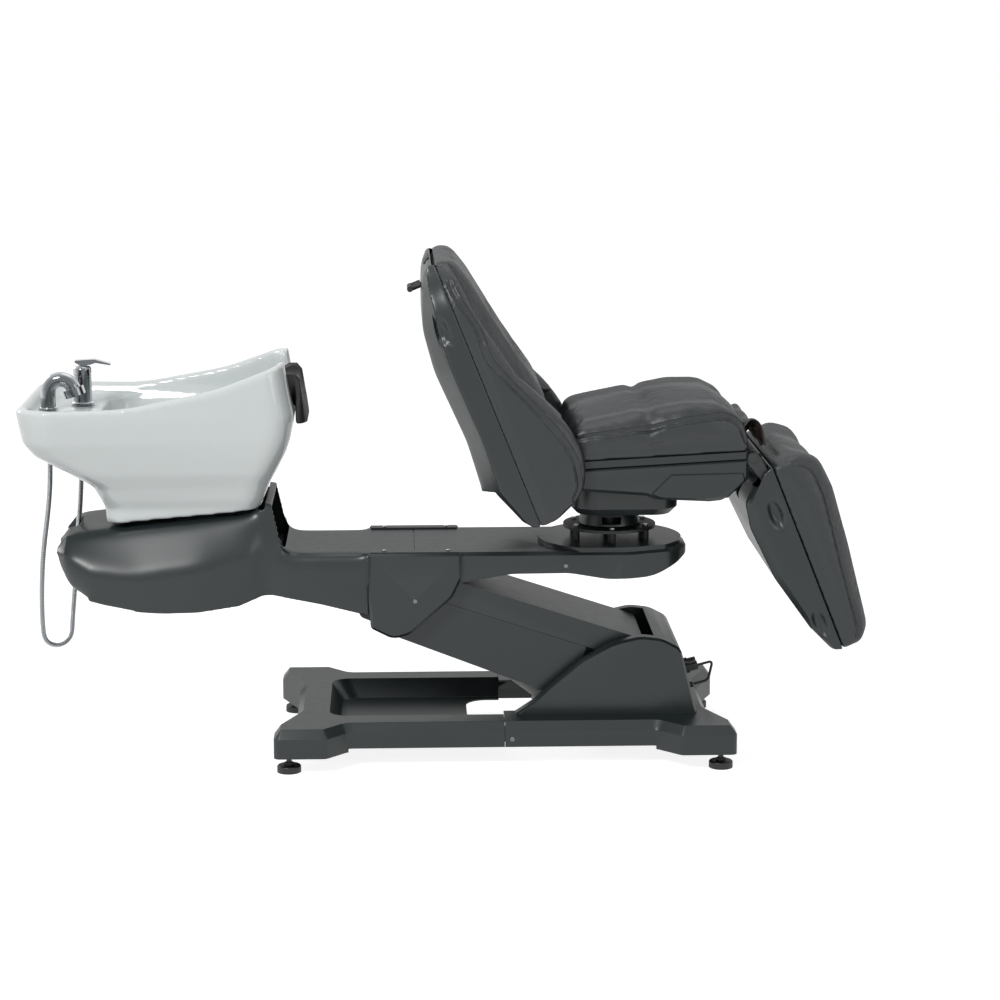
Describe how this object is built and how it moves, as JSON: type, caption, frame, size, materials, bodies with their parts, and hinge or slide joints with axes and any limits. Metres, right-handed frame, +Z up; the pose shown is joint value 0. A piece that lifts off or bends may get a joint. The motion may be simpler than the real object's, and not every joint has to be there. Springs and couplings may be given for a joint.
{
  "type": "salon hair washing bed",
  "caption": "Reclining hair washing bed with ceramic basin on a parallel-arm lift base, swivelling seat, reclining back and raising leg rest.",
  "frame": {"origin": "centre of the footprint on the floor, below the middle of the whole bed", "axes": "+X along the bed from the basin to the feet, +Y across it, +Z up"},
  "size_m": [1.9007, 0.6, 1.1428],
  "materials": {
    "shell": "satin",
    "shell_dark": "satin",
    "vinyl": "soft satin",
    "vinyl_light": "soft satin",
    "board": "raw plywood",
    "ceramic": "gloss",
    "rubber": "matte",
    "chrome": "polished",
    "steel": "brushed",
    "frame_paint": "powder coat",
    "white_paint": "powder coat",
    "foot": "matte",
    "actuator": "anodised"
  },
  "bodies": {
    "base": {"front_base_cover": "shell", "rear_base_cover": "shell", "base_cover_screws": "chrome", "base_frame": "frame_paint", "base_pivot_pins": "steel", "power_panel": "shell_dark", "panel_plugs": "shell_dark", "link_cable": "rubber"},
    "foot_front_near": {"levelling_foot_front_near": "foot"},
    "foot_front_far": {"levelling_foot_front_far": "foot"},
    "foot_rear_near": {"levelling_foot_rear_near": "foot"},
    "foot_rear_far": {"levelling_foot_rear_far": "foot"},
    "arm": {"arm_frame": "frame_paint", "arm_upper_cover": "shell", "arm_lower_cover": "shell", "arm_pivot_bushes": "steel"},
    "tie_link": {"tie_link": "frame_paint"},
    "lift_motor": {"lift_motor": "white_paint"},
    "lift_rod": {"lift_rod": "actuator"},
    "beam": {"platform_cover": "shell", "pedestal_cover": "shell", "beam_frame": "frame_paint", "beam_pivot_pin": "steel", "wing_cover_near": "shell", "wing_cover_far": "shell", "wing_screws": "chrome", "basin": "ceramic", "drain_strainer": "chrome", "drain_tail": "foot", "mixer_body": "chrome", "supply_hoses": "rubber", "handset_socket": "chrome", "shower_hose": "chrome", "swivel_base_plate": "frame_paint", "swivel_bolts": "steel"},
    "mixer_cap": {"mixer_cap": "chrome"},
    "mixer_lever": {"mixer_lever": "chrome"},
    "handset": {"spray_handset": "chrome"},
    "neck_rest": {"neck_rest": "rubber"},
    "chair": {"swivel_cone": "shell", "seat_shell": "shell", "seat_trim_band": "shell_dark", "seat_cushion": "vinyl", "seat_frame": "frame_paint"},
    "back": {"back_shell": "shell", "back_board": "board", "back_frame": "frame_paint", "back_cushion": "vinyl", "back_bolster_near": "vinyl_light", "back_bolster_far": "vinyl_light", "rear_handle": "foot", "head_slot_cover": "shell_dark"},
    "leg": {"leg_shell": "shell", "leg_cushion": "vinyl", "leg_frame": "frame_paint", "leg_board": "board"},
    "recline_motor": {"recline_motor": "white_paint"},
    "recline_rod": {"recline_rod": "actuator"},
    "leg_motor": {"leg_motor": "white_paint"},
    "leg_rod": {"leg_rod": "actuator"}
  },
  "joints": [
    {"name": "arm_lift", "type": "hinge", "parent": "base", "child": "arm", "pos_m": [0.466, 0, 0.181], "axis": [0, 1, 0], "range_deg": [-8, 22]},
    {"name": "beam_level", "type": "hinge", "parent": "arm", "child": "beam", "pos_m": [-0.061, 0, 0.368], "axis": [0, 1, 0], "range_deg": [-22, 8]},
    {"name": "tie_turn", "type": "hinge", "parent": "base", "child": "tie_link", "pos_m": [0.442, 0, 0.109], "axis": [0, 1, 0], "range_deg": [-8, 22]},
    {"name": "lift_motor_turn", "type": "hinge", "parent": "base", "child": "lift_motor", "pos_m": [0.295, 0, 0.068], "axis": [0, 1, 0], "range_deg": [-9.38, 24.93]},
    {"name": "lift_rod_slide", "type": "slide", "parent": "lift_motor", "child": "lift_rod", "axis": [-0.7959, 0, 0.6055], "range_m": [-0.029, 0.0779]},
    {"name": "chair_swivel", "type": "hinge", "parent": "beam", "child": "chair", "pos_m": [0.391, 0, 0.515], "axis": [0, 0, 1], "range_deg": [-90, 90]},
    {"name": "back_recline", "type": "hinge", "parent": "chair", "child": "back", "pos_m": [0.2, 0, 0.698], "axis": [0, -1, 0], "range_deg": [0, 52]},
    {"name": "leg_raise", "type": "hinge", "parent": "chair", "child": "leg", "pos_m": [0.69, 0, 0.705], "axis": [0, -1, 0], "range_deg": [0, 48]},
    {"name": "recline_motor_turn", "type": "hinge", "parent": "chair", "child": "recline_motor", "pos_m": [0.47, 0.08, 0.604], "axis": [0, -1, 0], "range_deg": [-0.5, 9.5]},
    {"name": "recline_rod_slide", "type": "slide", "parent": "recline_motor", "child": "recline_rod", "axis": [-0.9886, 0, 0.1508], "range_m": [-0.0647, 0.001]},
    {"name": "leg_motor_turn", "type": "hinge", "parent": "chair", "child": "leg_motor", "pos_m": [0.5, -0.08, 0.642], "axis": [0, -1, 0], "range_deg": [-0.5, 8.71]},
    {"name": "leg_rod_slide", "type": "slide", "parent": "leg_motor", "child": "leg_rod", "axis": [1, 0, 0], "range_m": [-0.001, 0.0457]},
    {"name": "mixer_turn", "type": "hinge", "parent": "beam", "child": "mixer_cap", "pos_m": [-0.82, 0.045, 0.86], "axis": [0, 0, 1], "range_deg": [-45, 45]},
    {"name": "lever_tilt", "type": "hinge", "parent": "mixer_cap", "child": "mixer_lever", "pos_m": [-0.82, 0.045, 0.8736], "axis": [0, -1, 0], "range_deg": [0, 22]},
    {"name": "handset_pull", "type": "slide", "parent": "beam", "child": "handset", "axis": [0, 0, 1], "range_m": [0, 0.1]},
    {"name": "neck_rest_lift", "type": "slide", "parent": "beam", "child": "neck_rest", "axis": [0, 0, 1], "range_m": [0, 0.12]},
    {"name": "foot_turn_front_near", "type": "hinge", "parent": "base", "child": "foot_front_near", "pos_m": [-0.347, -0.262, 0.02], "axis": [0, 0, 1], "range_deg": [-170, 170]},
    {"name": "foot_turn_front_far", "type": "hinge", "parent": "base", "child": "foot_front_far", "pos_m": [-0.347, 0.262, 0.02], "axis": [0, 0, 1], "range_deg": [-170, 170]},
    {"name": "foot_turn_rear_near", "type": "hinge", "parent": "base", "child": "foot_rear_near", "pos_m": [0.627, -0.262, 0.02], "axis": [0, 0, 1], "range_deg": [-170, 170]},
    {"name": "foot_turn_rear_far", "type": "hinge", "parent": "base", "child": "foot_rear_far", "pos_m": [0.627, 0.262, 0.02], "axis": [0, 0, 1], "range_deg": [-170, 170]}
  ],
  "couplings": [
    {"joint": "beam_level", "follows": "arm_lift", "ratio": -1},
    {"joint": "tie_turn", "follows": "arm_lift", "ratio": 1},
    {"joint": "lift_motor_turn", "follows": "arm_lift", "ratio": 1.1106},
    {"joint": "lift_rod_slide", "follows": "arm_lift", "m_per_rad": 0.20027},
    {"joint": "recline_motor_turn", "follows": "back_recline", "ratio": 0.173},
    {"joint": "recline_rod_slide", "follows": "back_recline", "m_per_rad": -0.0702},
    {"joint": "leg_motor_turn", "follows": "leg_raise", "ratio": 0.1711},
    {"joint": "leg_rod_slide", "follows": "leg_raise", "m_per_rad": 0.05337}
  ]
}
